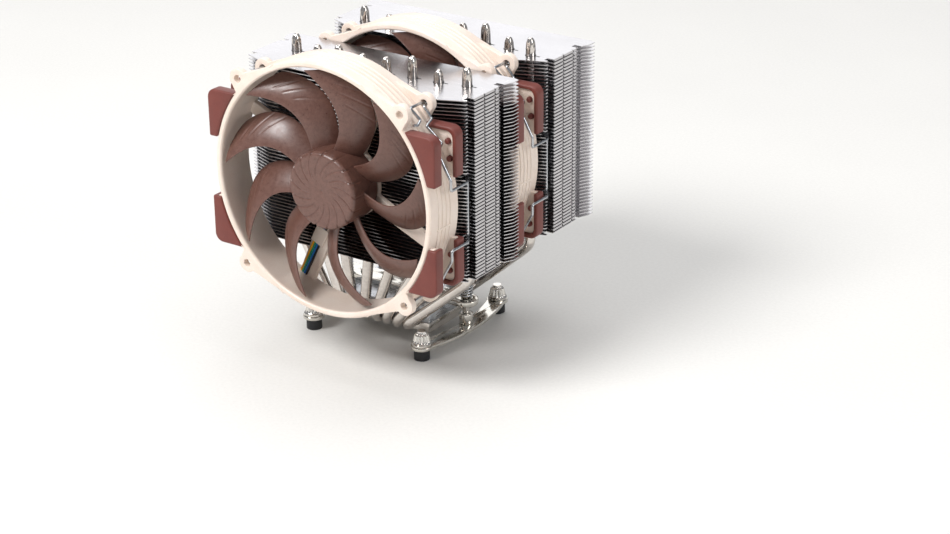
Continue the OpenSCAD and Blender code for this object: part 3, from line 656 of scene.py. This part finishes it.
def add_clips():
    """Both fans' clips: the fixed hooked ends and the two swinging middles."""
    end, bail = make_clip_end(), make_bail()
    ends = joined([end, copy_of(end, "left_end", mirror=True)], "clip_ends")
    for unit in ("front", "middle"):
        put(copy_of(ends, "ends", FAN[unit]), unit + "_clip_hooks", "root", [unit + "_clip_ends"],
            "spring_steel")
        for side in ("left", "right"):
            name = "%s_%s_clip" % (unit, side)
            put(copy_of(bail, "bail", FAN[unit], side == "left"), name + "_wire", name, [name],
                "spring_steel")
    for spare in (ends, bail):
        bpy.data.objects.remove(spare)


add_clips()


# ---------- fan leads ----------

LEAD_ANGLE = 243
LEAD_PITCH = 1.3
LEAD_R = 0.6
LEAD_BEND = 5
# Distance from the fan's axis and depth along each lead: below the hub, then up onto the strut's face
LEAD_ROUTE = ((11.2, 22.65), (21.8, 22.6), (25, 21.8), (50, 21.75), (68, 21.75))


def add_leads():
    """Four insulated leads side by side along the strut, out to the frame."""
    colours = ("lead_insulation", "blue_lead", "green_lead", "yellow_lead")
    angle = math.radians(LEAD_ANGLE)
    along = Vector((math.cos(angle), 0, math.sin(angle)))
    across = Vector((-math.sin(angle), 0, math.cos(angle)))
    for unit in ("front", "middle"):
        leads = []
        for k, colour in enumerate(colours):
            side = across * LEAD_PITCH * (1.5 - k)
            points = [along * r + side + Vector((0, y, 0)) for r, y in LEAD_ROUTE]
            lead = wire("lead", points, LEAD_R, LEAD_BEND)
            lead.data.materials.append(FINISH[colour])
            leads.append(lead)
        leads = joined(leads, "leads")
        leads.data.transform(Matrix.Translation(FAN[unit]))
        put(leads, unit + "_lead_set", "root", [unit + "_leads"], "lead_insulation", coated=True)


add_leads()


# ---------- heat pipes ----------

PIPE_COUNT = 8
PIPE_R = 3
PIPE_SIDES = 12
SPRING_R = 0.5
SPRING_SIDES = 6
TIP_LENGTH = 5.6
TIP_RINGS = (4.6, 4.0, 3.4, 2.8, 1.6, 1.0, 0.5)
CRIMP = 0.2


def rounded_tube(node, name, sides, radius):
    """A CAD tube with few sides, made smooth and brought back to its own thickness."""
    piece = merged_copy(node, name)
    edit(piece)
    bpy.ops.mesh.tris_convert_to_quads(face_threshold=math.radians(30), shape_threshold=math.radians(60))
    kept = 2 / 3 + math.cos(2 * math.pi / sides) / 3
    bpy.ops.transform.shrink_fatten(value=radius * (1 / kept - 1) * MM)
    leave_edit()
    apply(piece, "SUBSURF", levels=2, render_levels=2)
    return piece


def refined_tips(pipe):
    """Adds rings to the last millimetres of a pipe so that the crimp has edges to shape."""
    top = max(vertex.co.z for vertex in pipe.data.vertices)
    edit(pipe)
    for below in TIP_RINGS:
        bpy.ops.mesh.select_all(action="SELECT")
        bpy.ops.mesh.bisect(plane_co=(0, 0, top - below * MM), plane_no=(0, 0, 1))
    leave_edit()


def pinch_tips(pipe):
    """Crimps the two ends of a pipe into fluted, tapering tips, as they are sealed after filling."""
    top = max(vertex.co.z for vertex in pipe.data.vertices)
    for side in (-1, 1):
        tip = [vertex for vertex in pipe.data.vertices
               if vertex.co.z > top - TIP_LENGTH * MM and vertex.co.y * side > 0]
        middle = sum((vertex.co for vertex in tip), Vector()) / len(tip)
        for vertex in tip:
            x, y = vertex.co.x - middle.x, vertex.co.y - middle.y
            below = (top - vertex.co.z) / MM
            flute = abs(math.sin(2 * math.atan2(y, x)))
            share = smoothstep(5.4, 3.6, below) * smoothstep(-0.2, 0.7, below)
            scale = 1 - CRIMP * share * (1 - flute)
            vertex.co.x = middle.x + x * scale
            vertex.co.y = middle.y + y * scale


def add_springs():
    """The coil springs in round wire. Each stretches between the crossbar and its screw's head."""
    for side in ("left", "right"):
        spring = rounded_tube(side + "_spring", side + "_coil", SPRING_SIDES, SPRING_R)
        smooth(spring, 60)
        put(spring, side + "_coil", None, [side + "_spring"], "spring_steel")
        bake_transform(spring)


def add_heat_pipes():
    """The eight U-shaped pipes, in round tube with crimped tips."""
    for k in range(1, PIPE_COUNT + 1):
        node = "heat_pipe_%d" % k
        pipe = rounded_tube(node, node + "_tube", PIPE_SIDES, PIPE_R)
        refined_tips(pipe)
        pinch_tips(pipe)
        smooth(pipe, 60)
        put(pipe, node + "_tube", "root", [node], "plated_pipe")


add_heat_pipes()
add_springs()


# ---------- base and mount ----------

# Each piece's rounded edge in millimetres
ROUNDED = {"cold_plate": 0.3, "base_cover": 0.4, "cover_screws": 0.2, "crossbar": 0.35,
           "left_spring_screw": 0.25, "right_spring_screw": 0.25, "left_mounting_bar": 0.4,
           "right_mounting_bar": 0.4, "screw_posts": 0.3, "standoffs": 0.3}


def add_base():
    """The machined, turned and pressed pieces of the base and mount, with their edges rounded."""
    slots = {part["node"]: part["material_slot"] for part in frame["record"]["subparts"]}
    for node, width in ROUNDED.items():
        body = node if node.endswith("spring_screw") else "root"
        put(softened(node, width), node + "_finished", body, [node], slots[node])


NUT_FLUTES = 14
NUT_BORE_R = 2.05
FLUTE_DEPTH = 0.5
HOLE_PITCH = 75.0


def add_thumb_nuts():
    """Four fluted cone nuts: a turned body with a base flange, and flutes pressed into its cone."""
    low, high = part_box("thumb_nuts")
    r = ((high.x - low.x) / MM - HOLE_PITCH) / 2
    h = (high.z - low.z) / MM
    cone = [(r - 0.6 - 1.1 * k / 10, 1.9 + (h - 4.1) * k / 10) for k in range(11)]
    dome = [(r - 1.7 - 1.6 * math.sin(a), h - 2 + 2 * (1 - math.cos(a)))
            for a in (0.3, 0.6, 0.9, 1.2, 1.4, 1.57)]
    bore = [(0.05, h - 2), (NUT_BORE_R, h - 2), (NUT_BORE_R, 0)]
    flange = [(r - 0.25, 0), (r, 0.25), (r, 1.3), (r - 0.3, 1.6)]
    nut = turned("nut", bore + flange + cone + dome + [(0.05, h)], 12 * NUT_FLUTES)
    for vertex in nut.data.vertices:
        x, y, z = vertex.co / MM
        away = math.hypot(x, z)
        if away > 2.2 and 1.7 < y < h - 0.4:
            share = smoothstep(1.7, 2.6, y) * smoothstep(h - 0.6, h - 2.4, y)
            press = FLUTE_DEPTH * share * (0.5 + 0.5 * math.cos(NUT_FLUTES * math.atan2(z, x))) ** 1.5
            vertex.co.x -= press * MM * x / away
            vertex.co.z -= press * MM * z / away
    nut.data.transform(Matrix.Rotation(math.pi / 2, 4, "X"))
    smooth(nut, 40)
    half = HOLE_PITCH / 2 * MM
    corners = [(sx * half, sy * half, low.z) for sx in (-1, 1) for sy in (-1, 1)]
    nuts = joined([copy_of(nut, "nut", corner) for corner in corners], "nuts")
    bpy.data.objects.remove(nut)
    put(nuts, "thumb_nuts_fluted", "root", ["thumb_nuts"], "nickel_steel_turned")


add_base()
add_thumb_nuts()


# ---------- studio ----------

def add_area_light(name, place, target, size, watts):
    """A round soft light turned towards a target. Places and size are in metres."""
    data = bpy.data.lights.new(name, "AREA")
    data.shape = "DISK"
    data.size = size
    data.energy = watts
    light = bpy.data.objects.new(name, data)
    light.location = place
    light.rotation_euler = (Vector(target) - Vector(place)).to_track_quat("-Z", "Y").to_euler()
    bpy.context.scene.collection.objects.link(light)


def add_studio():
    """A pale floor under the standoffs, four soft lights and a pale sky."""
    only_nothing()
    bpy.ops.mesh.primitive_plane_add(size=14, location=(0, 0, CAD_BOX[0][2]))
    floor = bpy.context.object
    floor.name = "floor"
    floor.data.materials.append(finish("pale_paper_sweep", "#DAD8D4", "#E0DEDA", 0.8, grain=2, bump=0.01,
                                       blotch=400))
    centre = (0.01, 0, 0.09)
    add_area_light("key", (-0.5, -1.4, 1.5), centre, 0.9, 42)
    add_area_light("side", (1.7, 0.1, 0.7), centre, 0.8, 8)
    add_area_light("top", (0.1, 0.4, 1.9), centre, 1.8, 18)
    add_area_light("back", (-1.15, 1.6, 1.0), centre, 1.5, 7)
    world = bpy.data.worlds.new("studio")
    world.use_nodes = True
    world.node_tree.nodes["Background"].inputs["Color"].default_value = linear("#E9ECF2")
    world.node_tree.nodes["Background"].inputs["Strength"].default_value = 0.4
    bpy.context.scene.world = world
    bpy.context.scene.view_settings.view_transform = "Standard"


add_studio()
